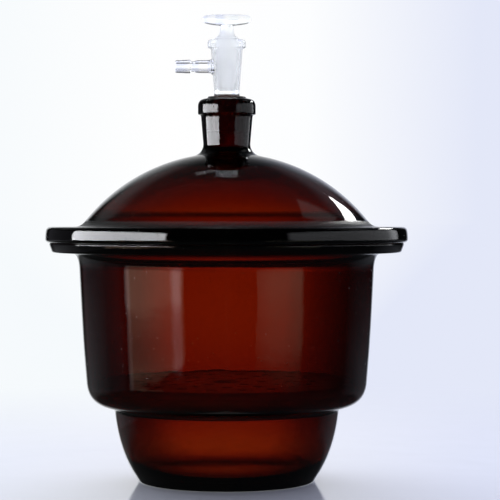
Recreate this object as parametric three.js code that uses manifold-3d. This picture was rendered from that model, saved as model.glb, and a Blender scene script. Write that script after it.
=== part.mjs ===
// Vacuum desiccator: amber glass bowl and domed lid, porcelain plate, clear glass stopcock.
// Millimetres, +Z up. The foot stands on z = 0 and every turned piece shares the Z axis.
import * as THREE from 'three';
import { mergeVertices } from 'three/addons/utils/BufferGeometryUtils.js';
import Module from 'manifold-3d';

const wasm = await Module();
wasm.setup();

// Facets round a full turn. Pieces that fit inside each other share the same number.
const TURN_FACETS = 40;
const SMALL_FACETS = 20;
const CURVE_STEPS = 4;
const HOLE_FACETS = 12;
const MERGE_DISTANCE = 1e-4;
// Clearance between touching pieces, and how far a cutting rod runs past the face it cuts.
const GAP = 0.3;
const CUT_PAST = 1;

// Bowl
const FOOT_R = 72;
const FOOT_RING_WIDTH = 5;
const FOOT_PUNT = 2;
const FOOT_RING_SLOPE = 4;
const BOWL_FLOOR_Z = 8;
const BOWL_FLOOR_R = 58;
const FOOT_INNER_CORNER_R = 66;
const WAIST_R = 92.8;
const WAIST_Z = 58;
const LEDGE_Z = 67.4;
const BOWL_LOW_R = 116.3;
const BOWL_LOW_Z = 83;
const BOWL_HIGH_R = 121.9;
const BOWL_HIGH_Z = 178;
const WALL = 4.5;
const BOWL_FLANGE_R = 146.7;
const BOWL_FLANGE_UNDER_Z = 189.5;
const BOWL_TOP_Z = 197.6;
const BOWL_FLANGE_UNDER_R = 129;
const FLANGE_ROUND = 2;
const FLANGE_EDGE = 1;
const MOUTH_R = 117.4;
const LEDGE_UNDER_R = 98;
const LEDGE_UNDER_Z = 62.6;
const LEDGE_OUTER_R = 101;
const LEDGE_INNER_R = 91.5;
// Where the bowl's curves bend: [radius, height] of the corner that each one rounds off.
const FOOT_BEND = [89.6, 25];
const WAIST_BEND = [93.2, 62.4];
const LEDGE_BEND = [115, 64.5];
const CHAMBER_BEND = [119.9, 125];
const FLARE_BEND = [122.4, BOWL_FLANGE_UNDER_Z];
const INNER_LEDGE_BEND = [111, LEDGE_Z];
const INNER_WAIST_BEND = [88.3, LEDGE_Z];
const INNER_FOOT_BEND = [86, 21.8];

// Lid
const LID_FLANGE_R = 150;
const LID_FLANGE_Z = BOWL_TOP_Z + GAP;
const LID_FLANGE_TOP_Z = 211;
const LID_BEVEL = 3;
const LID_ROUND = 4.5;
const DOME_R = 149.5;
const DOME_CENTRE_Z = 122.7;
const DOME_EDGE_R = 118;
const DOME_FILLET_R = 123;
const DOME_FILLET_BEND_R = 120.5;
const DOME_SKIRT = 3;
const NECK_FOOT_R = 27;
const NECK_R = 19.7;
const NECK_TOP_R = 21.2;
const NECK_FOOT_Z = 278;
const NECK_TOP_Z = 301;
const NECK_FILLET = 1.3;
const NECK_MOUTH_R = 24;
const NECK_MOUTH_BEND_R = 11.4;
const NECK_MOUTH_BEND = 2;
const BEAD_ROUND = 1.6;
const BEAD_SHOULDER_R = 17;
const BEAD_R = 24;
const BEAD_LOW_Z = 303.6;
const BEAD_HIGH_Z = 311;
const BEAD_SHOULDER = 6;
const LIP_R = 15.8;
const LIP_Z = 319;
const LIP_EDGE = 0.5;

// 24/29 ground joint and the stopcock's own ground taper, both 1 in 10 on diameter
const CONE_SLOPE = 1 / 20;
const SOCKET_MOUTH_R = 12;
const SOCKET_LENGTH = 29;
const SOCKET_LOW_Z = LIP_Z - SOCKET_LENGTH;
const SOCKET_TAIL = 9;

// Stopcock body
const CONE_END_Z = 288;
const CONE_BIG_Z = 318;
const CONE_BORE_R = 7.9;
const BARREL_LOW_R = 10.5;
const BARREL_LOW_Z = 322;
const BARREL_HIGH_R = 13;
const BARREL_HIGH_Z = 357.5;
const RIM_R = 15.8;
const RIM_LOW_Z = 358.6;
const RIM_TOP_Z = 365.8;
const RIM_ROUND = 2;
const TUBE_STEP = 1;
// Hose arm, measured along it from the axis: root, stem, waist, olive and tip
const ARM_Z = 343.6;
const ARM_START = 10;
const ARM_ROOT_R = 6.4;
const ARM_ROOT_END = 12.4;
const ARM_R = 4.6;
const ARM_STEM_START = 15.5;
const ARM_STEM_END = 24.5;
const ARM_WAIST_R = 4.2;
const ARM_WAIST_START = 27.5;
const ARM_WAIST_END = 29;
const OLIVE_R = 5.6;
const OLIVE_START = 31.5;
const OLIVE_END = 34;
const ARM_TIP_R = 5.1;
const ARM_TIP = 42.7;
const ARM_TIP_ROUND = 0.5;
const ARM_BORE_R = 2.7;
const ARM_BORE_START = 3;

// Plug
const PLUG_LOW_Z = 324;
const PLUG_TOP_Z = 364;
const PLUG_TOP_R = 9.6;
const PLUG_BORE_R = 4;
const PLUG_BORE_TOP_Z = 348;
const PLUG_SIDE_BORE_LENGTH = 12;
const PLUG_COLLAR = 1.5;
const STEM_R = 5.7;
const STEM_TAPER = 0.4;
const STEM_IN_HANDLE = 2;
const STEM_LOW_Z = 369.5;
const HANDLE_LENGTH = 41.4;
const HANDLE_TOP_Z = 386.7;
const HANDLE_UNDER_Z = 377.2;
const HANDLE_TIP_Z = 381;
const HANDLE_THICKNESS = 9;
const HANDLE_BEVEL = 2.4;
const HANDLE_BEVEL_STEPS = 3;
const HANDLE_NOSE = 0.6;
const HANDLE_SHOULDER = 5;
const HANDLE_SAG = 1.2;

// Porcelain plate
const PLATE_R = 107;
const PLATE_LOW_Z = 75.5;
const PLATE_TOP_Z = 82;
const PLATE_ROUND = 1.5;
const RING_DRAFT = 1;
const RING_INNER_R = 92;
const RING_OUTER_R = 99;
const FINGER_HOLE_R = 12;
const PLATE_HOLE_R = 4.5;
const HOLE_RINGS = [
  { radius: 29, count: 6 },
  { radius: 50, count: 12 },
  { radius: 71, count: 18 },
];

// ---------------------------------------------------------------- solids

function toSolid(geometry) {
  geometry.deleteAttribute('normal');
  geometry.deleteAttribute('uv');
  const merged = mergeVertices(geometry, MERGE_DISTANCE);
  const index = merged.index.array;
  const kept = [];
  for (let i = 0; i < index.length; i += 3) {
    const [a, b, c] = [index[i], index[i + 1], index[i + 2]];
    if (a !== b && b !== c && c !== a) kept.push(a, b, c);
  }
  const build = () => new wasm.Manifold(new wasm.Mesh({
    numProp: 3,
    vertProperties: new Float32Array(merged.attributes.position.array),
    triVerts: new Uint32Array(kept),
  }));
  const solid = build();
  if (solid.volume() > 0) return solid;
  // a profile drawn the other way round gives faces pointing in
  for (let i = 0; i < kept.length; i += 3) [kept[i], kept[i + 1]] = [kept[i + 1], kept[i]];
  return build();
}

function toMesh(name, solid, material) {
  const mesh = solid.getMesh();
  const geometry = new THREE.BufferGeometry();
  geometry.setAttribute('position', new THREE.BufferAttribute(new Float32Array(mesh.vertProperties), 3));
  geometry.setIndex(new THREE.BufferAttribute(new Uint32Array(mesh.triVerts), 1));
  geometry.computeVertexNormals();
  const result = new THREE.Mesh(geometry, new THREE.MeshStandardMaterial(material));
  result.name = name;
  return result;
}

// A profile path of (radius, height) turned about Z.
function turned(path, facets = TURN_FACETS) {
  const points = path.getPoints(CURVE_STEPS);
  return new THREE.LatheGeometry(points, facets).rotateX(Math.PI / 2);
}

function rod(radius, low, high, facets = SMALL_FACETS) {
  const path = new THREE.Path();
  path.moveTo(0, low).lineTo(radius, low).lineTo(radius, high).lineTo(0, high);
  return turned(path, facets);
}

// Turns a piece built along +Z to point along -X at the height of the hose arm.
function alongArm(geometry) {
  return geometry.rotateY(-Math.PI / 2).translate(0, 0, ARM_Z);
}

function domeHeight(sphereRadius, radius) {
  return DOME_CENTRE_Z + Math.sqrt(sphereRadius ** 2 - radius ** 2);
}

function plugRadius(z) {
  return PLUG_TOP_R - (PLUG_TOP_Z - z) * CONE_SLOPE;
}

function socketRadius(z) {
  return SOCKET_MOUTH_R - (LIP_Z - z) * CONE_SLOPE;
}

// ---------------------------------------------------------------- bowl

function bowl() {
  const path = new THREE.Path();
  const ringInner = FOOT_R - FOOT_RING_WIDTH;
  path.moveTo(0, FOOT_PUNT);
  path.lineTo(ringInner - FOOT_RING_SLOPE, FOOT_PUNT);
  path.lineTo(ringInner, 0);
  path.lineTo(FOOT_R, 0);
  // foot, waist under the ledge, ledge
  path.quadraticCurveTo(...FOOT_BEND, WAIST_R, WAIST_Z);
  path.quadraticCurveTo(...WAIST_BEND, LEDGE_UNDER_R, LEDGE_UNDER_Z);
  path.quadraticCurveTo(...LEDGE_BEND, BOWL_LOW_R, BOWL_LOW_Z);
  // chamber wall, flare into the flange
  path.quadraticCurveTo(...CHAMBER_BEND, BOWL_HIGH_R, BOWL_HIGH_Z);
  path.quadraticCurveTo(...FLARE_BEND, BOWL_FLANGE_UNDER_R, BOWL_FLANGE_UNDER_Z);
  path.lineTo(BOWL_FLANGE_R - FLANGE_ROUND, BOWL_FLANGE_UNDER_Z);
  path.quadraticCurveTo(
    BOWL_FLANGE_R, BOWL_FLANGE_UNDER_Z, BOWL_FLANGE_R, BOWL_FLANGE_UNDER_Z + FLANGE_ROUND);
  path.lineTo(BOWL_FLANGE_R, BOWL_TOP_Z - FLANGE_EDGE);
  path.lineTo(BOWL_FLANGE_R - FLANGE_EDGE, BOWL_TOP_Z);
  // inside: mouth, chamber, ledge, foot
  path.lineTo(MOUTH_R, BOWL_TOP_Z);
  path.quadraticCurveTo(CHAMBER_BEND[0] - WALL, CHAMBER_BEND[1], BOWL_LOW_R - WALL, BOWL_LOW_Z + 2);
  path.quadraticCurveTo(...INNER_LEDGE_BEND, LEDGE_OUTER_R, LEDGE_Z);
  path.lineTo(LEDGE_INNER_R, LEDGE_Z);
  path.quadraticCurveTo(...INNER_WAIST_BEND, WAIST_R - WALL, WAIST_Z + 2);
  path.quadraticCurveTo(...INNER_FOOT_BEND, FOOT_INNER_CORNER_R, BOWL_FLOOR_Z + 0.5);
  path.lineTo(BOWL_FLOOR_R, BOWL_FLOOR_Z);
  path.lineTo(0, BOWL_FLOOR_Z);
  return toSolid(turned(path));
}

// ---------------------------------------------------------------- lid

function lid() {
  const path = new THREE.Path();
  const innerR = DOME_R - WALL;
  const domeEdgeZ = domeHeight(DOME_R, DOME_EDGE_R);
  const neckFootZ = domeHeight(DOME_R, NECK_FOOT_R);
  const neckMouthZ = domeHeight(innerR, NECK_MOUTH_R);
  const mouthZ = domeHeight(innerR, MOUTH_R);
  path.moveTo(MOUTH_R, LID_FLANGE_Z);
  path.lineTo(LID_FLANGE_R - LID_BEVEL, LID_FLANGE_Z);
  path.lineTo(LID_FLANGE_R, LID_FLANGE_Z + LID_BEVEL);
  path.lineTo(LID_FLANGE_R, LID_FLANGE_TOP_Z - LID_ROUND);
  path.quadraticCurveTo(LID_FLANGE_R, LID_FLANGE_TOP_Z, LID_FLANGE_R - LID_ROUND, LID_FLANGE_TOP_Z);
  path.lineTo(DOME_FILLET_R, LID_FLANGE_TOP_Z);
  path.quadraticCurveTo(DOME_FILLET_BEND_R, LID_FLANGE_TOP_Z, DOME_EDGE_R, domeEdgeZ);
  // dome, from the flange up to the neck
  const edgeAngle = Math.acos(DOME_EDGE_R / DOME_R);
  path.absarc(0, DOME_CENTRE_Z, DOME_R, edgeAngle, Math.acos(NECK_FOOT_R / DOME_R), false);
  path.quadraticCurveTo(NECK_R, neckFootZ + NECK_FILLET, NECK_R, NECK_FOOT_Z);
  path.lineTo(NECK_TOP_R, NECK_TOP_Z);
  path.quadraticCurveTo(NECK_TOP_R, BEAD_LOW_Z, NECK_TOP_R + BEAD_ROUND, BEAD_LOW_Z);
  path.quadraticCurveTo(BEAD_R, BEAD_LOW_Z, BEAD_R, BEAD_LOW_Z + BEAD_ROUND);
  path.lineTo(BEAD_R, BEAD_HIGH_Z);
  path.quadraticCurveTo(BEAD_R, BEAD_HIGH_Z + BEAD_SHOULDER, BEAD_SHOULDER_R, BEAD_HIGH_Z + BEAD_SHOULDER);
  path.lineTo(LIP_R, BEAD_HIGH_Z + BEAD_SHOULDER);
  path.lineTo(LIP_R, LIP_Z - LIP_EDGE);
  path.lineTo(LIP_R - LIP_EDGE, LIP_Z);
  // ground socket, then the inside of the neck and dome
  path.lineTo(SOCKET_MOUTH_R, LIP_Z);
  path.lineTo(socketRadius(SOCKET_LOW_Z), SOCKET_LOW_Z);
  path.lineTo(socketRadius(SOCKET_LOW_Z), SOCKET_LOW_Z - SOCKET_TAIL);
  path.quadraticCurveTo(NECK_MOUTH_BEND_R, neckMouthZ + NECK_MOUTH_BEND, NECK_MOUTH_R, neckMouthZ);
  const topAngle = Math.acos(NECK_MOUTH_R / innerR);
  path.absarc(0, DOME_CENTRE_Z, innerR, topAngle, Math.acos(MOUTH_R / innerR), true);
  path.lineTo(MOUTH_R, mouthZ - DOME_SKIRT);
  path.lineTo(MOUTH_R, LID_FLANGE_Z);
  return toSolid(turned(path));
}

// ---------------------------------------------------------------- porcelain plate

function plate() {
  const path = new THREE.Path();
  const footZ = LEDGE_Z + GAP;
  path.moveTo(0, PLATE_LOW_Z);
  path.lineTo(RING_INNER_R, PLATE_LOW_Z);
  path.lineTo(RING_INNER_R + RING_DRAFT, footZ);
  path.lineTo(RING_OUTER_R - RING_DRAFT, footZ);
  path.lineTo(RING_OUTER_R, PLATE_LOW_Z);
  path.lineTo(PLATE_R - PLATE_ROUND, PLATE_LOW_Z);
  path.lineTo(PLATE_R, PLATE_LOW_Z + PLATE_ROUND);
  path.lineTo(PLATE_R, PLATE_TOP_Z - PLATE_ROUND);
  path.lineTo(PLATE_R - PLATE_ROUND, PLATE_TOP_Z);
  path.lineTo(0, PLATE_TOP_Z);
  let solid = toSolid(turned(path));
  const low = PLATE_LOW_Z - CUT_PAST;
  const high = PLATE_TOP_Z + CUT_PAST;
  solid = solid.subtract(toSolid(rod(FINGER_HOLE_R, low, high)));
  for (const { radius, count } of HOLE_RINGS) {
    for (let i = 0; i < count; i += 1) {
      const angle = (i / count) * 2 * Math.PI;
      const hole = rod(PLATE_HOLE_R, low, high, HOLE_FACETS);
      hole.translate(radius * Math.cos(angle), radius * Math.sin(angle), 0);
      solid = solid.subtract(toSolid(hole));
    }
  }
  return solid;
}

// ---------------------------------------------------------------- stopcock body

function stopcockBody() {
  const path = new THREE.Path();
  path.moveTo(CONE_BORE_R, CONE_END_Z);
  path.lineTo(socketRadius(CONE_END_Z) - GAP, CONE_END_Z);
  path.lineTo(socketRadius(CONE_BIG_Z) - GAP, CONE_BIG_Z);
  path.quadraticCurveTo(BARREL_LOW_R - 0.2, CONE_BIG_Z + 1, BARREL_LOW_R, BARREL_LOW_Z);
  path.lineTo(BARREL_HIGH_R, BARREL_HIGH_Z);
  path.quadraticCurveTo(BARREL_HIGH_R + 0.2, RIM_LOW_Z, RIM_R - 1.5, RIM_LOW_Z + 0.2);
  path.quadraticCurveTo(RIM_R, RIM_LOW_Z + 0.4, RIM_R, RIM_LOW_Z + RIM_ROUND);
  path.lineTo(RIM_R, RIM_TOP_Z - RIM_ROUND);
  path.quadraticCurveTo(RIM_R, RIM_TOP_Z, RIM_R - RIM_ROUND, RIM_TOP_Z);
  // inside: mouth, ground taper for the plug, open tube below it
  path.lineTo(plugRadius(RIM_TOP_Z) + GAP + 1, RIM_TOP_Z);
  path.lineTo(plugRadius(PLUG_TOP_Z) + GAP, PLUG_TOP_Z - 1);
  path.lineTo(plugRadius(PLUG_LOW_Z) + GAP, PLUG_LOW_Z - 1);
  path.lineTo(CONE_BORE_R - TUBE_STEP, PLUG_LOW_Z - 3);
  path.lineTo(CONE_BORE_R - TUBE_STEP, CONE_BIG_Z - 2);
  path.lineTo(CONE_BORE_R, CONE_END_Z);
  const arm = new THREE.Path();
  arm.moveTo(0, ARM_START);
  arm.lineTo(ARM_ROOT_R, ARM_START);
  arm.lineTo(ARM_ROOT_R - 0.2, ARM_ROOT_END);
  arm.quadraticCurveTo(ARM_R, ARM_ROOT_END + 0.6, ARM_R, ARM_STEM_START);
  arm.lineTo(ARM_R, ARM_STEM_END);
  arm.quadraticCurveTo(ARM_R - 0.1, ARM_STEM_END + 2, ARM_WAIST_R, ARM_WAIST_START);
  arm.lineTo(ARM_WAIST_R + 0.1, ARM_WAIST_END);
  arm.quadraticCurveTo(OLIVE_R, ARM_WAIST_END + 0.6, OLIVE_R, OLIVE_START);
  arm.lineTo(OLIVE_R, OLIVE_END);
  arm.lineTo(ARM_TIP_R, ARM_TIP - ARM_TIP_ROUND - 0.1);
  arm.lineTo(ARM_TIP_R - ARM_TIP_ROUND, ARM_TIP);
  arm.lineTo(0, ARM_TIP);
  const outside = toSolid(turned(path)).add(toSolid(alongArm(turned(arm, SMALL_FACETS))));
  return outside.subtract(toSolid(alongArm(rod(ARM_BORE_R, ARM_BORE_START, ARM_TIP + 2 * CUT_PAST))));
}

// ---------------------------------------------------------------- stopcock plug

// The T-handle in side view: x along the bar, y is height.
function handleOutline() {
  const half = HANDLE_LENGTH / 2 - HANDLE_BEVEL;
  const top = HANDLE_TOP_Z - HANDLE_BEVEL;
  const tip = HANDLE_TIP_Z + HANDLE_BEVEL;
  const under = HANDLE_UNDER_Z + HANDLE_BEVEL;
  const shape = new THREE.Shape();
  shape.moveTo(-STEM_R, under);
  shape.lineTo(STEM_R, under);
  shape.quadraticCurveTo(half - HANDLE_SHOULDER, tip - HANDLE_SAG, half - HANDLE_NOSE, tip);
  shape.quadraticCurveTo(half, (tip + top) / 2, half - HANDLE_NOSE, top);
  shape.lineTo(HANDLE_NOSE - half, top);
  shape.quadraticCurveTo(-half, (tip + top) / 2, HANDLE_NOSE - half, tip);
  shape.quadraticCurveTo(HANDLE_SHOULDER - half, tip - HANDLE_SAG, -STEM_R, under);
  return shape;
}

function handle() {
  const depth = HANDLE_THICKNESS - 2 * HANDLE_BEVEL;
  const geometry = new THREE.ExtrudeGeometry(handleOutline(), {
    depth,
    bevelThickness: HANDLE_BEVEL,
    bevelSize: HANDLE_BEVEL,
    bevelSegments: HANDLE_BEVEL_STEPS,
    curveSegments: CURVE_STEPS,
  });
  return geometry.translate(0, 0, -depth / 2).rotateX(Math.PI / 2);
}

function stopcockPlug() {
  const path = new THREE.Path();
  path.moveTo(0, PLUG_LOW_Z);
  path.lineTo(plugRadius(PLUG_LOW_Z), PLUG_LOW_Z);
  path.lineTo(PLUG_TOP_R, PLUG_TOP_Z);
  path.lineTo(PLUG_TOP_R, PLUG_TOP_Z + PLUG_COLLAR);
  path.quadraticCurveTo(STEM_R, PLUG_TOP_Z + PLUG_COLLAR + 1, STEM_R, STEM_LOW_Z);
  path.lineTo(STEM_R - STEM_TAPER, HANDLE_UNDER_Z + STEM_IN_HANDLE);
  path.lineTo(0, HANDLE_UNDER_Z + STEM_IN_HANDLE);
  const outside = toSolid(turned(path)).add(toSolid(handle()));
  const axial = toSolid(rod(PLUG_BORE_R, PLUG_LOW_Z - CUT_PAST, PLUG_BORE_TOP_Z));
  const side = toSolid(alongArm(rod(ARM_BORE_R, 0, PLUG_SIDE_BORE_LENGTH)));
  return outside.subtract(axial).subtract(side);
}

// ---------------------------------------------------------------- assembly

const AMBER = { color: 0x5a1606, roughness: 0.04, metalness: 0 };
const CLEAR = { color: 0xe4ecf2, roughness: 0.04, metalness: 0 };
const PORCELAIN = { color: 0xe8e6df, roughness: 0.2, metalness: 0 };

const group = new THREE.Group();
group.name = 'vacuum_desiccator';
group.add(toMesh('base_bowl', bowl(), AMBER));
group.add(toMesh('lid', lid(), AMBER));
group.add(toMesh('desiccator_plate', plate(), PORCELAIN));
group.add(toMesh('stopcock_body', stopcockBody(), CLEAR));
group.add(toMesh('stopcock_plug', stopcockPlug(), CLEAR));

export default group;
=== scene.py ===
import math

import bmesh
import bpy
from mathutils import Matrix, Vector, noise


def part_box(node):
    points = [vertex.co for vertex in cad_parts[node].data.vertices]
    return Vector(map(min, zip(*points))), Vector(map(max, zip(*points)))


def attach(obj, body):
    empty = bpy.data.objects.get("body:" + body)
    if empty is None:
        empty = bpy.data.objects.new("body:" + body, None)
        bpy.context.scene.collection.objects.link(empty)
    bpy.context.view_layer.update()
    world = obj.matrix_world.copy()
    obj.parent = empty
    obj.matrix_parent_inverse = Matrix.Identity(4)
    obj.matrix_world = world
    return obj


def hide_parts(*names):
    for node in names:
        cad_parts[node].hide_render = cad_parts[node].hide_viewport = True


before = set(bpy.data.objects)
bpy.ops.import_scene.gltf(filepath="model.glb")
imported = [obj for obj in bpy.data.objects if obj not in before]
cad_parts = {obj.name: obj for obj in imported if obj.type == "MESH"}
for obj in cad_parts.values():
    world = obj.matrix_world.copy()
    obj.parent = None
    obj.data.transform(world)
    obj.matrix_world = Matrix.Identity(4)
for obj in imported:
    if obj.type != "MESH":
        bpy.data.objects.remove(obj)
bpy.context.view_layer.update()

# Vacuum desiccator: amber bowl and lid, porcelain plate, clear stopcock.
# Outlines are in millimetres, as (radius, height) about the Z axis. Everything else is in metres.
MM = 0.001

# Points along one curve of an outline.
FINE = 14
LONG = 24
MOUTH = 20
EDGE = 6
SMALL_EDGE = 5
DOME_ARC = 48

# Facets round a turned piece.
TURN = 192
PLATE_TURN = 144
BARREL_TURN = 128
PLUG_TURN = 96
ARM_TURN = 64
BORE_TURN = 48
HOLE_TURN = 32
SHARP_DEGREES = 32

# Glass is a little out of true. Wobbles are in millimetres.
BIG_WOBBLE = 0.16
BARREL_WOBBLE = 0.12
SMALL_WOBBLE = 0.06
WOBBLE_SCALE = 0.018
SAME_POINT = 1e-4
ON_AXIS = 1e-6

bowl_low, bowl_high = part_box("base_bowl")
lid_low, lid_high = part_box("lid")
plate_low, plate_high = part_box("desiccator_plate")
cock_low, cock_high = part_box("stopcock_body")
plug_low, plug_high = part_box("stopcock_plug")

BOWL_FLANGE_R = bowl_high.x / MM
BOWL_TOP = bowl_high.z / MM
LID_R = lid_high.x / MM
LID_FACE = lid_low.z / MM
LIP_TOP = lid_high.z / MM
CONE_LOW = cock_low.z / MM
RIM_TOP = cock_high.z / MM
RIM_R = cock_high.x / MM
ARM_TIP = -cock_low.x / MM
PLUG_LOW = plug_low.z / MM
HANDLE_TOP = plug_high.z / MM
HANDLE_HALF = plug_high.x / MM
PLATE_LOW = plate_low.z / MM
PLATE_TOP = plate_high.z / MM
PLATE_R = plate_high.x / MM

FLANGE_UNDER = 189.7
LEDGE = 67.4
FLOOR_IN_FOOT = 6.4

LID_FLANGE_TOP = 211
LID_MOUTH_R = 118.6
DOME_FOOT_R = 116.0
DOME_TOP_R = 27
DOME_R = 149.5
DOME_MID = 122.7
INNER_R = 150.5
INNER_MID = 115.3
INNER_TOP_R = 55
INNER_FOOT_R = 105
NECK_BORE_R = 10.55
NECK_BEAD_R = 24
LIP_R = 14.4
LIP_DROP = 2.8

# The ground joints narrow by 1 in 10 on the diameter, and stand GAP apart.
TAPER = 20
GAP = 0.3
SOCKET_R = 12
PLUG_WIDE_R = 9.6
PLUG_WIDE_Z = 364
TUBE_R = 7.9

ARM_Z = 343.6
ARM_BORE_R = 2.7
AXIAL_BORE_R = 4
AXIAL_BORE_TOP = 348.6

PLATE_UNDER = 75.5
FINGER_HOLE_R = 12
SMALL_HOLE_R = 4.5
HOLE_FLARE = 1.4
HOLE_RINGS = ((29, 6), (50, 12), (71, 18))


class Outline:
    """A profile in millimetres: straight runs, curves with one control point, and arcs."""

    def __init__(self, r, z):
        self.points = [(r, z)]

    def to(self, r, z):
        self.points.append((r, z))
        return self

    def curve(self, cr, cz, r, z, steps=FINE):
        """A curve to (r, z) that bends towards (cr, cz)."""
        r0, z0 = self.points[-1]
        for i in range(1, steps + 1):
            t = i / steps
            a, b, c = (1 - t) ** 2, 2 * t * (1 - t), t * t
            self.points.append((a * r0 + b * cr + c * r, a * z0 + b * cz + c * z))
        return self

    def arc(self, mid_z, radius, r_end, steps=DOME_ARC):
        """Along a circle centred on the axis, from the present radius to r_end."""
        a0 = math.asin(self.points[-1][0] / radius)
        a1 = math.asin(r_end / radius)
        for i in range(steps + 1):
            a = a0 + (a1 - a0) * i / steps
            self.points.append((radius * math.sin(a), mid_z + radius * math.cos(a)))
        return self


def outer_z(r):
    """Height of the dome's outside."""
    return DOME_MID + math.sqrt(DOME_R ** 2 - r ** 2)


def inner_z(r):
    """Height of the dome's inside, which is nearer the outside at the foot than at the crown."""
    return INNER_MID + math.sqrt(INNER_R ** 2 - r ** 2)


def apart(p, q):
    return math.hypot(p[0] - q[0], p[1] - q[1])


def without_repeats(points):
    kept = [points[0]]
    for p in points[1:]:
        if apart(p, kept[-1]) > SAME_POINT:
            kept.append(p)
    return kept


def turned(name, outline, segments=TURN, wobble=0.0, seed=0.0):
    """A closed solid of revolution. wobble moves the skin by that many millimetres, as hand-worked glass."""
    points = without_repeats(outline.points)
    closed = apart(points[0], points[-1]) < SAME_POINT
    if closed:
        points = points[:-1]
    bm = bmesh.new()
    rings = []
    for r, z in points:
        if r < ON_AXIS:
            rings.append([bm.verts.new((0, 0, z * MM))])
            continue
        ring = []
        for i in range(segments):
            a = 2 * math.pi * i / segments
            c, s = math.cos(a), math.sin(a)
            rr = r
            if wobble:
                where = Vector((c * r, s * r, z)) * WOBBLE_SCALE + Vector((seed, seed, seed))
                rr += wobble * noise.noise(where)
            ring.append(bm.verts.new((rr * c * MM, rr * s * MM, z * MM)))
        rings.append(ring)
    pairs = list(zip(rings, rings[1:]))
    if closed:
        pairs.append((rings[-1], rings[0]))
    for low, high in pairs:
        for i in range(segments):
            j = (i + 1) % segments
            if len(low) == 1 and len(high) == 1:
                break
            if len(low) == 1:
                bm.faces.new((low[0], high[j], high[i]))
            elif len(high) == 1:
                bm.faces.new((low[i], low[j], high[0]))
            else:
                bm.faces.new((low[i], low[j], high[j], high[i]))
    bmesh.ops.recalc_face_normals(bm, faces=bm.faces)
    return finished(name, bm)


def smooth(mesh):
    mesh.shade_smooth()
    mesh.set_sharp_from_angle(angle=math.radians(SHARP_DEGREES))


def finished(name, bm):
    mesh = bpy.data.meshes.new(name)
    bm.to_mesh(mesh)
    bm.free()
    smooth(mesh)
    obj = bpy.data.objects.new(name, mesh)
    bpy.context.scene.collection.objects.link(obj)
    return obj


def combine(obj, tools):
    """Joins to obj, or cuts from it, each (tool, operation), and bakes the result into its mesh."""
    for tool, operation in tools:
        mod = obj.modifiers.new("combine", "BOOLEAN")
        mod.solver = "EXACT"
        mod.operation = operation
        mod.object = tool
    graph = bpy.context.evaluated_depsgraph_get()
    mesh = bpy.data.meshes.new_from_object(obj.evaluated_get(graph))
    obj.modifiers.clear()
    obj.data = mesh
    for tool, _ in tools:
        bpy.data.objects.remove(tool)
    smooth(mesh)
    return obj


# ------------------------------------------------------------------ bowl

def make_bowl():
    """Foot ring, foot, ledge, chamber wall and ground flange, then the inside back down to the axis."""
    top = BOWL_TOP
    o = Outline(0, 2.4)
    o.to(60, 2.2).curve(65, 2.0, 67, 0.4).curve(67.6, 0, 69, 0)
    o.to(71, 0).curve(73, 0.1, 74.0, 2.6)
    o.curve(89.4, 25, 92.8, 57)
    o.curve(93.1, 61.6, 97, 62.3)
    o.curve(115.2, 64.4, 116.3, 83, LONG)
    o.curve(119.9, 125, 121.9, 175, LONG)
    o.curve(122.4, FLANGE_UNDER - 0.1, 129, FLANGE_UNDER)
    o.to(BOWL_FLANGE_R - 3.8, FLANGE_UNDER + 0.1)
    o.curve(BOWL_FLANGE_R - 1.9, FLANGE_UNDER + 0.2, BOWL_FLANGE_R - 1.6, FLANGE_UNDER + 2.1)
    o.to(BOWL_FLANGE_R, top - 1.2)
    o.curve(BOWL_FLANGE_R, top, BOWL_FLANGE_R - 1.2, top, EDGE)
    o.to(123.4, top).curve(118.2, top - 2.5, 117.3, top - 15, MOUTH)
    o.curve(115.6, 125, 110.9, 85, LONG)
    o.curve(109.4, 68.3, 101, LEDGE, LONG)
    o.to(92, LEDGE).curve(88.2, LEDGE - 0.2, 87.8, 60)
    o.curve(85.8, 18.8, 69, 9.4, LONG)
    o.curve(64, 6.9, 56, 6.7).curve(30, FLOOR_IN_FOOT, 0, FLOOR_IN_FOOT)
    return turned("amber_bowl", o, wobble=BIG_WOBBLE, seed=3.1)


# ------------------------------------------------------------------ lid

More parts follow.
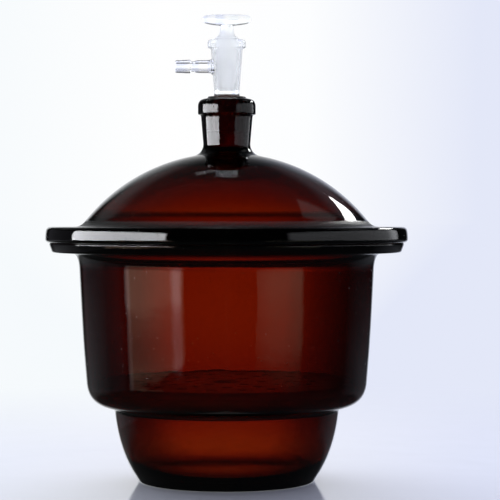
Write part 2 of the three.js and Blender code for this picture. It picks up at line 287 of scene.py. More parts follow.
def make_lid():
    """Ground flange, dome, neck and beaded mouth, then the bore and the dome's inside."""
    o = Outline(LID_MOUTH_R, LID_FACE)
    o.to(LID_R - 4.0, LID_FACE)
    o.curve(LID_R - 0.2, LID_FACE + 0.2, LID_R, LID_FACE + 2.9)
    o.curve(LID_R, 205.5, LID_R - 0.7, 208.2)
    o.curve(LID_R - 1.5, LID_FLANGE_TOP, LID_R - 4.8, LID_FLANGE_TOP)
    o.to(125.6, LID_FLANGE_TOP).curve(119.8, LID_FLANGE_TOP + 0.1, DOME_FOOT_R, outer_z(DOME_FOOT_R))
    o.arc(DOME_MID, DOME_R, DOME_TOP_R)
    o.curve(20.2, outer_z(DOME_TOP_R) + 2.2, 19.5, 279)
    o.to(21.3, 300.6)
    o.curve(21.3, 303.3, 22.6, 303.5)
    o.curve(NECK_BEAD_R, 303.6, NECK_BEAD_R, 305.2)
    o.to(NECK_BEAD_R, 310.6).curve(23.9, 316.4, 18.4, 316.9)
    lip = LIP_TOP - LIP_DROP
    o.curve(16.2, 317.1, 15.6, 318.6)
    o.curve(15.4, lip, LIP_R, lip, EDGE)
    o.to(12.6, lip).curve(12.0, lip, 11.9, lip - 0.6, SMALL_EDGE)
    o.to(NECK_BORE_R, LIP_TOP - 29).to(NECK_BORE_R, LIP_TOP - 38)
    o.curve(10.7, 259.4, 18, 258.9)
    o.to(44, 258.0).curve(50, 257.6, INNER_TOP_R, inner_z(INNER_TOP_R))
    o.arc(INNER_MID, INNER_R, INNER_FOOT_R)
    o.curve(108.4, inner_z(INNER_FOOT_R) - 3.3, 109.8, 216.6)
    o.curve(111.0, 213.6, 111.4, 210.5)
    o.curve(112.2, 203, LID_MOUTH_R, LID_FACE)
    return turned("amber_lid", o, wobble=BIG_WOBBLE, seed=9.7)


# ------------------------------------------------------------------ plate

def make_plate():
    """A disc with a raised rim and a foot ring, with a finger hole and three rings of small holes."""
    low, high = PLATE_UNDER, PLATE_TOP
    foot = PLATE_LOW
    radius = PLATE_R
    o = Outline(0, low)
    o.to(91.5, low).curve(92.4, low, 92.6, 74.4, SMALL_EDGE)
    o.to(93.2, 68.4).curve(93.4, foot, 94, foot, SMALL_EDGE)
    o.to(97.4, foot).curve(98.2, foot, 98.4, 68.4, SMALL_EDGE)
    o.to(98.9, 74.4).curve(99.1, low, 100, low, SMALL_EDGE)
    o.to(radius - 2.2, low).curve(radius, low, radius, 78.4)
    o.curve(radius, high, radius - 3.2, high).curve(radius - 6, high - 0.1, radius - 7, high - 0.9)
    o.to(0, high - 0.9)
    plate = turned("porcelain_plate", o, PLATE_TURN)
    tools = [(hole("finger_tool", 0, 0, FINGER_HOLE_R, low, high), "DIFFERENCE")]
    for ring_r, count in HOLE_RINGS:
        for i in range(count):
            a = 2 * math.pi * i / count
            tool = hole("hole_tool", ring_r * math.cos(a), ring_r * math.sin(a), SMALL_HOLE_R, low, high)
            tools.append((tool, "DIFFERENCE"))
    return combine(plate, tools)


def hole(name, x, y, radius, low, high):
    """A cutter with flared ends, so each hole has softened edges."""
    flared = radius + HOLE_FLARE
    o = Outline(0, low - 1)
    o.to(flared, low - 1).curve(radius, low, radius, low + 1.2, SMALL_EDGE)
    o.to(radius, high - 2.1).curve(radius, high - 0.9, flared, high + 0.1, SMALL_EDGE)
    o.to(0, high + 0.1)
    tool = turned(name, o, HOLE_TURN)
    tool.data.transform(Matrix.Translation((x * MM, y * MM, 0)))
    return tool


# ------------------------------------------------------------------ stopcock

def plug_r(z):
    return PLUG_WIDE_R - (PLUG_WIDE_Z - z) / TAPER


def socket_r(z):
    return SOCKET_R - (LIP_TOP - z) / TAPER


def along_arm(obj):
    """Lays a piece turned about Z along the hose arm, which points to -X."""
    obj.data.transform(Matrix.Translation((0, 0, ARM_Z * MM)) @ Matrix.Rotation(-math.pi / 2, 4, "Y"))
    return obj


def make_stopcock():
    """Ground cone, barrel and rolled rim, with the hose arm joined on and its bore cut through."""
    cone_r = socket_r(CONE_LOW) - GAP
    o = Outline(TUBE_R, CONE_LOW + 0.8)
    o.curve(TUBE_R, CONE_LOW, TUBE_R + 0.8, CONE_LOW, SMALL_EDGE)
    o.to(cone_r - 0.8, CONE_LOW)
    o.curve(cone_r, CONE_LOW, cone_r, CONE_LOW + 0.8, SMALL_EDGE)
    o.to(socket_r(318) - GAP, 318)
    o.curve(10.3, 319.4, 10.5, 322.5)
    o.to(12.9, 356.4).curve(13.1, 358.5, 14.6, 358.7)
    o.curve(RIM_R, 359, RIM_R, 361).to(RIM_R, RIM_TOP - 3)
    o.curve(RIM_R, RIM_TOP, RIM_R - 2.6, RIM_TOP)
    o.to(11.6, RIM_TOP).curve(10.1, RIM_TOP, plug_r(363) + GAP, 363.4, EDGE)
    o.to(plug_r(324) + GAP, 323.4).to(TUBE_R, CONE_LOW + 0.8)
    body = turned("stopcock_body_glass", o, BARREL_TURN, wobble=BARREL_WOBBLE, seed=5.3)
    a = Outline(0, 10)
    a.to(7.0, 10).to(6.7, 12.1).curve(5.5, 13.2, 5.3, 16)
    a.to(5.3, 22).curve(5.2, 25.4, 4.3, 27.2).to(4.3, 29.2)
    a.curve(4.6, 29.6, 5.4, 30.2).curve(5.65, 30.6, 5.6, 31.6)
    a.to(5.1, ARM_TIP - 1).curve(4.95, ARM_TIP, 4.0, ARM_TIP, EDGE).to(0, ARM_TIP)
    arm = along_arm(turned("arm_tool", a, ARM_TURN, wobble=SMALL_WOBBLE, seed=1.9))
    b = Outline(0, 3)
    b.to(ARM_BORE_R, 3).to(ARM_BORE_R, ARM_TIP - 1.2)
    b.curve(ARM_BORE_R + 0.1, ARM_TIP - 0.2, 3.8, ARM_TIP + 0.4, EDGE).to(0, ARM_TIP + 0.4)
    tube = along_arm(turned("bore_tool", b, BORE_TURN))
    return combine(body, [(arm, "UNION"), (tube, "DIFFERENCE")])


def make_plug():
    """Ground plug, shoulder and stem with the T on top, bored up the middle and out to one side."""
    o = Outline(0, PLUG_LOW)
    o.to(plug_r(PLUG_LOW) - 0.6, PLUG_LOW)
    o.curve(plug_r(PLUG_LOW), PLUG_LOW, plug_r(PLUG_LOW + 0.6), PLUG_LOW + 0.6, SMALL_EDGE)
    o.to(PLUG_WIDE_R, PLUG_WIDE_Z).to(9.8, 365.6).curve(9.8, 367.4, 8.5, 368.0)
    o.curve(6.9, 368.8, 6.1, 371.2).curve(5.5, 373, 5.4, 375)
    o.curve(5.3, 377.4, 5.2, 379.4).to(4.6, 380.6).to(0, 381.2)
    plug = turned("stopcock_plug_glass", o, PLUG_TURN, wobble=SMALL_WOBBLE, seed=7.7)
    up = Outline(0, PLUG_LOW - 1)
    up.to(AXIAL_BORE_R, PLUG_LOW - 1).to(AXIAL_BORE_R, 346)
    up.curve(AXIAL_BORE_R, 348.4, 0, AXIAL_BORE_TOP)
    axial = turned("axial_tool", up, BORE_TURN)
    across = Outline(0, 0).to(ARM_BORE_R, 0).to(ARM_BORE_R, 12).to(0, 12)
    side = along_arm(turned("side_tool", across, BORE_TURN))
    return combine(plug, [(make_handle(), "UNION"), (axial, "DIFFERENCE"), (side, "DIFFERENCE")])


def make_handle():
    """The T: an oval bar along X, its section fuller in the middle and rounded off at the tips."""
    steps, around = 60, 40
    half, top = HANDLE_HALF, HANDLE_TOP
    tip_height = 4.1
    squareness = 0.8
    bm = bmesh.new()
    rings = []
    for i in range(1, steps):
        u = -math.cos(math.pi * i / steps)
        x = half * u
        end = math.sqrt(max(0.0, 1 - abs(u) ** 13))
        slope = max(0.0, 1 - abs(u) ** 1.6)
        hub = max(0.0, 1 - (u / 0.42) ** 2)
        z_top = top - 1.1 * abs(u) ** 3
        z_low = top - 7.1 - 2.6 * slope
        mid = 0.5 * (z_top + z_low)
        high = 0.5 * (z_top - z_low) * end
        wide = (3.3 + 1.2 * slope + 1.7 * hub) * end
        ring = []
        for k in range(around):
            a = 2 * math.pi * k / around
            c, s = math.cos(a), math.sin(a)
            y = wide * math.copysign(abs(c) ** squareness, c)
            z = mid + high * math.copysign(abs(s) ** squareness, s)
            ring.append(bm.verts.new((x * MM, y * MM, min(z, top) * MM)))
        rings.append(ring)
    first = bm.verts.new((-half * MM, 0, (top - tip_height) * MM))
    last = bm.verts.new((half * MM, 0, (top - tip_height) * MM))
    for low, high_ring in zip(rings, rings[1:]):
        for k in range(around):
            m = (k + 1) % around
            bm.faces.new((low[k], low[m], high_ring[m], high_ring[k]))
    for k in range(around):
        m = (k + 1) % around
        bm.faces.new((first, rings[0][m], rings[0][k]))
        bm.faces.new((last, rings[-1][k], rings[-1][m]))
    bmesh.ops.recalc_face_normals(bm, faces=bm.faces)
    return finished("handle_tool", bm)


# ------------------------------------------------------------------ materials

class Nodes:
    """A few short calls for building a node tree."""

    def __init__(self, tree):
        self.tree = tree

    def add(self, kind, values=None, links=None, **settings):
        node = self.tree.nodes.new(kind)
        for key, value in settings.items():
            setattr(node, key, value)
        for key, value in (values or {}).items():
            node.inputs[key].default_value = value
        for key, source in (links or {}).items():
            self.tree.links.new(source, node.inputs[key])
        return node

    def noise(self, where, scale, detail=2.0, rough=0.5):
        values = {"Scale": scale, "Detail": detail, "Roughness": rough}
        return self.add("ShaderNodeTexNoise", values, {"Vector": where}).outputs["Fac"]

    def cells(self, where, scale):
        """Distance to the nearest of many scattered points."""
        return self.add("ShaderNodeTexVoronoi", {"Scale": scale}, {"Vector": where}).outputs["Distance"]

    def spread(self, value, low, high, to_low, to_high):
        """Maps value from low..high to to_low..to_high, held level beyond both ends."""
        node = self.add("ShaderNodeMapRange", {1: low, 2: high, 3: to_low, 4: to_high}, {0: value})
        return node.outputs[0]

    def between(self, value, low, high, soft):
        """1 between low and high, 0 outside, with each edge 2 * soft wide."""
        up = self.spread(value, low - soft, low + soft, 0.0, 1.0)
        down = self.spread(value, high - soft, high + soft, 1.0, 0.0)
        return self.times(up, down)

    def math(self, operation, a, b=None, clamp=False):
        node = self.add("ShaderNodeMath", operation=operation, use_clamp=clamp)
        for k, v in enumerate((a, b)):
            if v is None:
                continue
            if isinstance(v, (int, float)):
                node.inputs[k].default_value = v
            else:
                self.tree.links.new(v, node.inputs[k])
        return node.outputs[0]

    def chain(self, operation, values):
        result = values[0]
        for value in values[1:]:
            result = self.math(operation, result, value)
        return result

    def times(self, *values):
        return self.chain("MULTIPLY", values)

    def plus(self, *values):
        return self.chain("ADD", values)

    def most(self, *values):
        return self.chain("MAXIMUM", values)

    def ramp(self, value, stops):
        """A colour ramp from (position, colour) pairs."""
        node = self.add("ShaderNodeValToRGB", links={0: value})
        elements = node.color_ramp.elements
        while len(elements) < len(stops):
            elements.new(0.5)
        for element, (at, colour) in zip(elements, stops):
            element.position = at
            element.color = (*colour, 1)
        return node.outputs[0]


def new_material(name):
    mat = bpy.data.materials.new(name)
    mat.use_nodes = True
    tree = mat.node_tree
    tree.nodes.clear()
    n = Nodes(tree)
    out = n.add("ShaderNodeOutputMaterial")
    where = n.add("ShaderNodeTexCoord").outputs["Object"]
    return mat, n, out, where


# Volume colour and density. Denser glass keeps less of each colour over the same path.
AMBER_KEEP = (0.785, 0.458, 0.0)
LID_KEEP = (0.77, 0.475, 0.0)
AMBER_DENSITY = 1000.0
CLEAR_KEEP = (0.90, 0.95, 1.0)
BODY_DENSITY = 6.0
PLUG_DENSITY = 10.0
AMBER_IOR = 1.5
CLEAR_IOR = 1.42

# Painted shade on the glass: how much of the light each facing value keeps, from 0 face on to 1 at the limb,
# so the colour darkens towards the outline.
BOWL_LIMB_SHADE = (
    (0.09, 1.0),
    (0.165, 0.64),
    (0.21, 0.46),
    (0.31, 0.35),
    (0.44, 0.22),
    (0.56, 0.15),
    (1.0, 0.08),
)
LID_LIMB_SHADE = ((0.34, 1.0), (0.5, 0.76), (0.7, 0.5), (1.0, 0.2))
FOOT_SHADE_SHARE = 0.68

# Skin of the glass: slow waves, fine ripples, seeds (small bubbles), grit of ground areas and faint haze.
WAVE_SCALE = 16
RIPPLE_SCALE = 75
RIPPLE_SHARE = 0.16
SEED_SCALE = 140.0
SEED_CORE = 0.03
SEED_EDGE = 0.09
AMBER_SEEDS = 0.3
BOWL_WAVE = 0.0005
LID_WAVE = 0.0004
CLEAR_WAVE = 0.0006
GRIT_SCALE = 2600
GRIT_STRENGTH = 0.5
GRIT_DEPTH = 0.0002
GRIT_ROUGH = 0.42
BODY_ROUGH = 0.6
PLUG_ROUGH = 0.75
HAZE_SCALE = 28
HAZE_ROUGH = 0.035


def glass(name, absorb, density, ior, ground, wave, seeds=0.0, limb=None, grit_rough=GRIT_ROUGH, calm=None):
    """Glass with waves and seeds in its skin, a little surface haze, and ground areas where ground() says.

    limb is painted shade that darkens the glass's colour towards the outline, and calm() says how much of
    that applies at each height."""
    mat, n, out, where = new_material(name)
    values = {"Transmission Weight": 1.0, "IOR": ior, "Base Color": (1, 1, 1, 1)}
    shader = n.add("ShaderNodeBsdfPrincipled", values)
    if limb:
        # Painted shade: the base colour darkens towards the outline as the surface turns away from view.
        facing = n.add("ShaderNodeLayerWeight", {"Blend": 0.5}).outputs["Facing"]
        if calm:
            facing = n.times(facing, calm(n, where))
        painted_limb_shade = n.ramp(facing, [(at, (keep,) * 3) for at, keep in limb])
        n.tree.links.new(painted_limb_shade, shader.inputs["Base Color"])
    waves = n.noise(where, WAVE_SCALE, 2)
    ripples = n.times(n.noise(where, RIPPLE_SCALE, 3), RIPPLE_SHARE)
    seed = n.spread(n.cells(where, SEED_SCALE), SEED_CORE, SEED_EDGE, seeds, 0.0)
    height = n.plus(waves, ripples, seed)
    mask = ground(n, where)
    bump = n.add("ShaderNodeBump", {"Strength": 1.0, "Distance": wave}, {"Height": height})
    grit_height = n.times(n.noise(where, GRIT_SCALE, 2), mask)
    grit_links = {"Height": grit_height, "Normal": bump.outputs[0]}
    grit = n.add("ShaderNodeBump", {"Strength": GRIT_STRENGTH, "Distance": GRIT_DEPTH}, grit_links)
    haze = n.spread(n.noise(where, HAZE_SCALE, 4, 0.6), 0.45, 0.8, 0.0, HAZE_ROUGH)
    rough = n.plus(haze, n.times(mask, grit_rough))
    n.tree.links.new(rough, shader.inputs["Roughness"])
    n.tree.links.new(grit.outputs[0], shader.inputs["Normal"])
    volume = n.add("ShaderNodeVolumeAbsorption", {"Color": (*absorb, 1.0), "Density": density})
    n.tree.links.new(shader.outputs[0], out.inputs["Surface"])
    n.tree.links.new(volume.outputs[0], out.inputs["Volume"])
    return mat


def height_and_radius(n, where):
    x, y, z = n.add("ShaderNodeSeparateXYZ", links={0: where}).outputs
    return z, n.math("SQRT", n.plus(n.times(x, x), n.times(y, y)))


def bowl_ground(n, where):
    """The flange's top face is ground."""
    z = height_and_radius(n, where)[0]
    return n.spread(z, (BOWL_TOP - 0.22) * MM, (BOWL_TOP - 0.02) * MM, 0.0, 1.0)


def foot_shade_share(n, where):
    """Painted limb shade: the foot is thinner than the chamber wall, so its limbs darken less."""
    z = height_and_radius(n, where)[0]
    return n.spread(z, 0.054, 0.062, FOOT_SHADE_SHARE, 1.0)


def lid_ground(n, where):
    """Ground face and socket, with faint frosting where the dome meets the flange, inside and out."""
    z, r = height_and_radius(n, where)
    face = n.spread(z, (LID_FACE + 0.1) * MM, (LID_FACE + 0.3) * MM, 1.0, 0.0)
    socket_height = n.between(z, (LIP_TOP - 29) * MM, (LIP_TOP - 1) * MM, 0.0003)
    socket = n.times(socket_height, n.spread(r, 0.0125, 0.0128, 1.0, 0.0))
    inside = n.times(n.between(z, 0.2156, 0.2226, 0.0008), n.spread(r, 0.1104, 0.1108, 0.55, 0.0))
    outside = n.times(n.between(z, 0.2112, 0.2158, 0.0008), n.between(r, 0.1158, 0.1262, 0.0006), 0.9)
    return n.most(face, socket, inside, outside)


def cock_ground(n, where):
    """Ground cone and barrel bore, and a lightly frosted collar."""
    z, r = height_and_radius(n, where)
    cone = n.times(n.between(z, 0.289, 0.3178, 0.0003), n.spread(r, 0.0095, 0.0098, 0.0, 1.0))
    bore = n.times(n.between(z, 0.324, 0.363, 0.0003), n.spread(r, 0.0100, 0.0102, 1.0, 0.0))
    collar = n.times(n.spread(z, 0.3572, 0.3592, 0.0, 0.4), n.spread(r, 0.0122, 0.0128, 0.0, 1.0))
    return n.most(cone, bore, collar)


def plug_ground(n, where):
    """Ground taper, clear below it, and a lightly frosted stem and T."""
    z = height_and_radius(n, where)[0]
    return n.times(n.spread(z, 0.3226, 0.3234, 0.0, 1.0), n.spread(z, 0.3685, 0.3765, 1.0, 0.3))


# Porcelain, from dark to light, with dark specks and an unglazed foot ring.
PORCELAIN = ((0.1, (0.36, 0.345, 0.31)), (0.62, (0.50, 0.49, 0.465)))
PORCELAIN_IOR = 1.45
BLOTCH_SCALE = 22
SPECK_SCALE = 260.0
SPECK_DEPTH = 0.35
GLAZE_BUMP = 0.0003


def porcelain():
    mat, n, out, where = new_material("porcelain")
    specks = n.spread(n.cells(where, SPECK_SCALE), 0.02, 0.06, SPECK_DEPTH, 0.0)
    colour = n.ramp(n.math("SUBTRACT", n.noise(where, BLOTCH_SCALE, 4, 0.6), specks), PORCELAIN)
    z = height_and_radius(n, where)[0]
    bare = n.spread(z, plate_low.z + 0.0008, plate_low.z + 0.0016, 1.0, 0.0)
    glaze = n.spread(n.noise(where, 60, 3), 0.3, 0.7, 0.24, 0.4)
    rough = n.plus(glaze, n.times(bare, 0.5))
    dimples = {"Height": n.noise(where, 90, 4)}
    bump = n.add("ShaderNodeBump", {"Strength": 0.3, "Distance": GLAZE_BUMP}, dimples)
    links = {"Base Color": colour, "Roughness": rough, "Normal": bump.outputs[0]}
    shader = n.add("ShaderNodeBsdfPrincipled", {"IOR": PORCELAIN_IOR}, links)
    n.tree.links.new(shader.outputs[0], out.inputs["Surface"])
    return mat


ROOM_HALF_WIDTH = 0.2
ROOM_COLOURS = (
    (0.18, (0.92, 0.955, 0.98)),
    (0.42, (1.0, 1.0, 1.0)),
    (0.6, (0.98, 0.99, 1.0)),
    (0.81, (0.77, 0.805, 0.94)),
)


def pale_room(n, x):
    """The room's colour by the x of a direction: white in the middle, lavender to the right."""
    return n.ramp(n.spread(x, -ROOM_HALF_WIDTH, ROOM_HALF_WIDTH, 0.0, 1.0), ROOM_COLOURS)


FLOOR_COLOURS = ((0.0, (0.78, 0.795, 0.93)), (1.0, (0.80, 0.81, 0.94)))
FLOOR_IOR = 1.6
FLOOR_NEAR = 0.25
FLOOR_FAR = 0.95


def floor_material():
    """A polished pale floor that fades into the room's colour between FLOOR_NEAR and FLOOR_FAR."""
    mat, n, out, where = new_material("pale_floor")
    colour = n.ramp(n.noise(where, 3, 3), FLOOR_COLOURS)
    rough = n.spread(n.noise(where, 20, 3), 0.3, 0.7, 0.08, 0.12)
    shader = n.add("ShaderNodeBsdfPrincipled", {"IOR": FLOOR_IOR}, {"Base Color": colour, "Roughness": rough})
    distance = n.add("ShaderNodeVectorMath", links={0: where}, operation="LENGTH").outputs["Value"]
    way = n.add("ShaderNodeVectorMath", links={0: where}, operation="NORMALIZE").outputs[0]
    x = n.add("ShaderNodeSeparateXYZ", links={0: way}).outputs[0]
    room = n.add("ShaderNodeEmission", links={"Color": pale_room(n, x)})
    mix = n.add("ShaderNodeMixShader", links={0: n.spread(distance, FLOOR_NEAR, FLOOR_FAR, 0.0, 1.0)})
    n.tree.links.new(shader.outputs[0], mix.inputs[1])
    n.tree.links.new(room.outputs[0], mix.inputs[2])
    n.tree.links.new(mix.outputs[0], out.inputs["Surface"])
    return mat


# ------------------------------------------------------------------ pieces

amber_bowl = glass("amber_glass_bowl", AMBER_KEEP, AMBER_DENSITY, AMBER_IOR, bowl_ground, BOWL_WAVE,
                   AMBER_SEEDS, BOWL_LIMB_SHADE, calm=foot_shade_share)
amber_lid = glass("amber_glass_lid", LID_KEEP, AMBER_DENSITY, AMBER_IOR, lid_ground, LID_WAVE,
                  AMBER_SEEDS, LID_LIMB_SHADE)
clear_body = glass("clear_glass_body", CLEAR_KEEP, BODY_DENSITY, CLEAR_IOR, cock_ground, CLEAR_WAVE,
                   grit_rough=BODY_ROUGH)
clear_plug = glass("clear_glass_plug", CLEAR_KEEP, PLUG_DENSITY, CLEAR_IOR, plug_ground, CLEAR_WAVE,
                   grit_rough=PLUG_ROUGH)

# Each panel of light falls on one of these two collections. The plate goes with the amber pieces.
amber_pieces = bpy.data.collections.new("amber_pieces")
clear_pieces = bpy.data.collections.new("clear_pieces")
for make, body, node, slot, material in (
    (make_bowl, "bowl", "base_bowl", "base_bowl", amber_bowl),
    (make_lid, "lid", "lid", "lid", amber_lid),
    (make_plate, "plate", "desiccator_plate", "desiccator_plate", porcelain()),
    (make_stopcock, "stopcock", "stopcock_body", "stopcock_body", clear_body),
    (make_plug, "plug", "stopcock_plug", "stopcock_plug", clear_plug),
):
    piece = make()
    piece.data.materials.clear()
    piece.data.materials.append(material)
    (clear_pieces if node.startswith("stopcock") else amber_pieces).objects.link(piece)
    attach(piece, body)
    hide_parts(node)


# ------------------------------------------------------------------ floor, light, camera

FLOOR_HALF = 60.0
FLOOR_DROP = 0.0001


def make_floor():
    """A plane under the object, seen by the camera and through glass, and never mirrored."""
    bm = bmesh.new()
    corners = ((-1, -1), (1, -1), (1, 1), (-1, 1))
    bm.faces.new([bm.verts.new((x * FLOOR_HALF, y * FLOOR_HALF, -FLOOR_DROP)) for x, y in corners])
    floor = finished("floor", bm)
    floor.data.materials.append(floor_material())
    floor.visible_glossy = False


LEFT = -1
RIGHT = 1


def panel(name, side, azimuths, distance, heights, edges=(0.03, 0.97), ends=(0.0, 0.0), colour=(1, 1, 1),
          onto=None):
    """A soft box standing round the object. It lights the amber pieces in gloss alone, or the pieces
    in onto, which also see it through their glass.

    azimuths are degrees from the camera's side. heights are (z, radiance) pairs. Across the box the light is
    full between the two edges, given from 0 to 1 along it, and falls to ends outside them."""
    az_low, az_high = azimuths
    middle = math.radians((az_low + az_high) / 2)
    z_low, z_high = heights[0][0], heights[-1][0]
    peak = max(radiance for _, radiance in heights)
    data = bpy.data.lights.new(name, "AREA")
    data.shape = "RECTANGLE"
    data.size = 2 * distance * math.tan(math.radians((az_high - az_low) / 2))
    data.size_y = z_high - z_low
    data.energy = peak * math.pi * data.size * data.size_y
    data.color = colour
    data.use_nodes = True
    data.node_tree.nodes.clear()
    n = Nodes(data.node_tree)
    parametric = n.add("ShaderNodeNewGeometry").outputs["Parametric"]
    u, v, _ = n.add("ShaderNodeSeparateXYZ", links={0: parametric}).outputs
    up = n.ramp(v, [((z - z_low) / (z_high - z_low), (r / peak,) * 3) for z, r in heights])
    out_way = n.math("SUBTRACT", 1.0, u) if side == LEFT else u
    low = n.spread(out_way, 0.0, edges[0], ends[0], 1.0)
    high = n.spread(out_way, edges[1], 1.0, 1.0, ends[1])
    glow = n.add("ShaderNodeEmission", links={"Strength": n.times(up, n.times(low, high))})
    n.add("ShaderNodeOutputLight", links={0: glow.outputs[0]})
    lamp = bpy.data.objects.new(name, data)
    lamp.location = (side * distance * math.sin(middle), -distance * math.cos(middle), (z_low + z_high) / 2)
    away = Vector((-lamp.location.x, -lamp.location.y, 0))
    lamp.rotation_euler = away.to_track_quat("-Z", "Y").to_euler()
    lamp.visible_camera = False
    lamp.visible_diffuse = False
    lamp.visible_transmission = onto is not None
    lamp.light_linking.receiver_collection = onto or amber_pieces
    bpy.context.scene.collection.objects.link(lamp)


WALL_LEVEL = 0.87
WALL_HIGH_SHARE = 0.12
RIB_PITCH = 82
LAMP_SIDE_LEVEL = 0.55
VEIL_LEVEL = 0.032
SHOULDER_LEVEL = 0.12
BEHIND_LEVEL = 0.08


def mirrored_room(n, x, y, z):
    """What gloss sees, by direction: a lit back wall that dims upwards, a ribbed lamp above it, and faint
    fill from the sky, from either side of the wall, and from low down behind."""
    across = n.math("DIVIDE", n.math("ABSOLUTE", x), n.math("MAXIMUM", y, 0.001))
    wall_fall = n.spread(n.math("ABSOLUTE", z), 0.14, 0.5, 1.0, WALL_HIGH_SHARE)
    wall_top = n.spread(z, 0.5, 0.62, 1.0, 0.0)
    wall = n.times(n.spread(across, 0.22, 0.36, 1.0, 0.0), wall_fall, wall_top, WALL_LEVEL)
    ribs = n.spread(n.math("SINE", n.times(z, RIB_PITCH)), -0.4, 0.1, 0.25, 1.0)
    lamp_side = n.spread(across, 0.075, 0.095, LAMP_SIDE_LEVEL, 0.0)
    lamp = n.times(n.between(z, 0.60, 0.815, 0.01), lamp_side, ribs)
    fill = n.spread(z, -0.3, -0.1, 0.03, 0.01)
    veil = n.times(n.spread(z, 0.2, 0.5, 0.0, VEIL_LEVEL), n.spread(y, 0.05, 0.35, 0.0, 1.0))
    behind = n.times(n.between(z, -0.30, -0.09, 0.04), n.spread(across, 1.0, 3.0, BEHIND_LEVEL, 0.0))
    shoulders = n.times(n.between(across, 0.26, 1.0, 0.08), n.between(z, 0.36, 0.6, 0.06))
    shoulders = n.times(shoulders, n.spread(y, 0.1, 0.3, 0.0, SHOULDER_LEVEL))
    return n.plus(wall, lamp, fill, veil, behind, shoulders)


DOME_GLARE = 1.25
OVERHEAD_LEVEL = 0.12
LEFT_GLARE = 1.5
LEAN_LEFT = 0.5
LEAN_RIGHT = 1.6


def room_through_glass(n, x, y, z):
    """What is seen through glass, by direction: brighter behind the dome and at the left, dim overhead.
    Just above the horizon the brightness leans to the right."""
    glare = n.times(n.spread(z, 0.05, 0.075, 1.0, DOME_GLARE), n.spread(z, 0.4, 0.65, 1.0, OVERHEAD_LEVEL))
    lean = n.math("SUBTRACT", n.spread(x, -0.06, 0.06, LEAN_LEFT, LEAN_RIGHT), 1.0)
    glare = n.times(glare, n.plus(1.0, n.times(lean, n.between(z, 0.0, 0.056, 0.006))))
    left = n.times(n.between(x, -0.32, -0.04, 0.02), n.spread(y, 0.5, 0.9, 0.0, LEFT_GLARE))
    left = n.times(left, n.spread(z, -0.01, 0.03, 1.0, 0.0))
    return n.plus(glare, left)


def light_on_the_floor(n, x, y):
    """What matt surfaces receive, by direction: mostly from behind, and more from the left."""
    return n.times(n.spread(y, 0.0, 0.9, 0.14, 5.0), n.spread(x, -0.7, 0.7, 1.62, 0.95))


def make_world():
    """A pale room that answers each kind of ray in its own way. The camera sees it at strength 1."""
    world = bpy.data.worlds.new("studio")
    bpy.context.scene.world = world
    world.use_nodes = True
    world.node_tree.nodes.clear()
    n = Nodes(world.node_tree)
    way = n.add("ShaderNodeTexCoord").outputs["Generated"]
    x, y, z = n.add("ShaderNodeSeparateXYZ", links={0: way}).outputs
    path = n.add("ShaderNodeLightPath").outputs
    through = path["Is Transmission Ray"]
    glossy = n.math("SUBTRACT", path["Is Glossy Ray"], through, clamp=True)
    diffuse = n.math("SUBTRACT", path["Is Diffuse Ray"], through, clamp=True)
    other = n.math("SUBTRACT", n.math("SUBTRACT", 1.0, glossy), diffuse, clamp=True)
    strength = n.plus(
        n.math("SUBTRACT", other, through),
        n.times(through, room_through_glass(n, x, y, z)),
        n.times(glossy, mirrored_room(n, x, y, z)),
        n.times(diffuse, light_on_the_floor(n, x, y)),
    )
    back = n.add("ShaderNodeBackground", links={"Color": pale_room(n, x), "Strength": strength})
    out = n.add("ShaderNodeOutputWorld")
    n.tree.links.new(back.outputs[0], out.inputs["Surface"])


def dimmed(heights, share):
    return tuple((z, share * radiance) for z, radiance in heights)


COOL = (0.92, 0.94, 1.0)
FLANGE_WHITE = ((0.065, 1.3), (0.12, 9.5), (0.62, 9.5), (0.78, 0.0))
LEFT_GLOW = ((-0.25, 0.1), (-0.21, 0.62), (-0.143, 0.45), (-0.067, 0.72), (-0.03, 1.3), (0.065, 1.3))
RIGHT_GLOW = ((-0.25, 0.02), (-0.18, 0.11), (-0.13, 0.29), (-0.1, 0.34), (0.0, 0.5), (0.065, 0.6))
FLANGE_GREY = ((0.065, 0.4), (0.14, 0.55), (0.62, 0.66), (0.9, 0.3))
FAR_RIGHT = ((0.17, 0.2), (0.21, 0.7), (0.5, 0.7), (0.7, 0.0))
DIM = ((-0.3, 0.045), (0.6, 0.045))
RIM = ((0.86, 9.0), (1.17, 9.0))
CEILING = ((1.5, 0.22), (2.7, 0.22))
CLEAR_GLOW = ((-0.6, 0.42), (0.8, 0.42), (1.3, 0.95), (3.4, 0.95))

make_floor()
make_world()
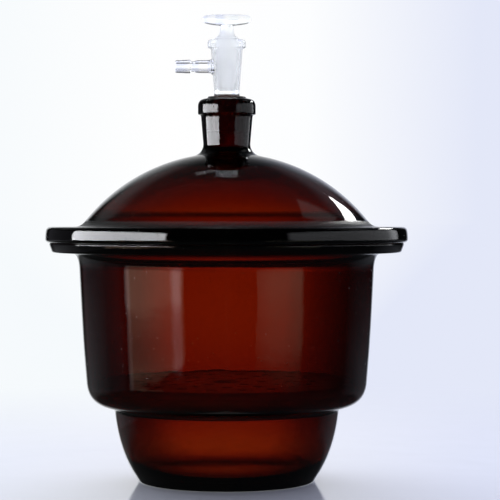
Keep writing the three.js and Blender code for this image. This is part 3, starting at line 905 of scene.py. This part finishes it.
# The white bar on the flange's left and the pale band down the left of the chamber.
panel("left_high", LEFT, (36, 110), 1.5, FLANGE_WHITE, (0.02, 0.96), colour=(0.95, 0.96, 1.0))
panel("left_low", LEFT, (31, 82), 1.52, LEFT_GLOW, (0.05, 0.95), colour=(1.0, 0.64, 0.45))
panel("left_edge", LEFT, (33, 43), 1.54, dimmed(LEFT_GLOW, 1.1), (0.2, 0.6), colour=(1.0, 0.84, 0.90))
panel("left_rim", LEFT, (77, 83), 1.54, dimmed(LEFT_GLOW, 0.5), (0.3, 0.8), colour=(1.0, 0.92, 0.95))
panel("left_dim", LEFT, (84, 150), 1.54, DIM, (0.1, 0.9), colour=(0.86, 0.84, 1.0))
# The grey bar on the flange's right and the fainter band down the right of the chamber.
panel("right_high", RIGHT, (36, 132), 1.5, FLANGE_GREY, (0.05, 0.97), colour=COOL)
panel("right_end", RIGHT, (116, 132), 1.52, FAR_RIGHT, (0.5, 0.97), colour=COOL)
panel("right_low", RIGHT, (22, 60), 1.52, RIGHT_GLOW, (0.3, 0.92), (0.55, 0.0), colour=(1.0, 0.95, 0.66))
# The white highlight on the dome's right and a faint light over the dome.
panel("rim_light", RIGHT, (127, 149), 1.6, RIM, (0.12, 0.97))
panel("ceiling", RIGHT, (100, 130), 1.7, CEILING, (0.2, 0.8))
# The bright surround that washes out the clear stopcock.
panel("clear_left", LEFT, (25, 155), 1.3, CLEAR_GLOW, colour=(0.93, 0.955, 1.0), onto=clear_pieces)
panel("clear_right", RIGHT, (25, 155), 1.3, CLEAR_GLOW, colour=(0.93, 0.955, 1.0), onto=clear_pieces)

# A long lens at a little over bowl height, turned a touch to the right and down. Angles are in degrees.
LENS_ANGLE = 14.25
EYE_DISTANCE = 1.66
EYE_HEIGHT = 0.219
LOOK_DOWN = 0.945
LOOK_RIGHT = 0.665

camera_data = bpy.data.cameras.new("camera")
camera_data.angle = math.radians(LENS_ANGLE)
camera = bpy.data.objects.new("camera", camera_data)
camera.location = (0, -EYE_DISTANCE, EYE_HEIGHT)
camera.rotation_euler = (math.radians(90 - LOOK_DOWN), 0, -math.radians(LOOK_RIGHT))
bpy.context.scene.collection.objects.link(camera)
bpy.context.scene.camera = camera

scene = bpy.context.scene
scene.view_settings.view_transform = "Standard"
scene.cycles.max_bounces = 24
scene.cycles.transmission_bounces = 20
scene.cycles.glossy_bounces = 8
scene.cycles.diffuse_bounces = 3
scene.cycles.caustics_refractive = True
scene.cycles.caustics_reflective = False
scene.cycles.sample_clamp_indirect = 6.0

bpy.context.view_layer.update()
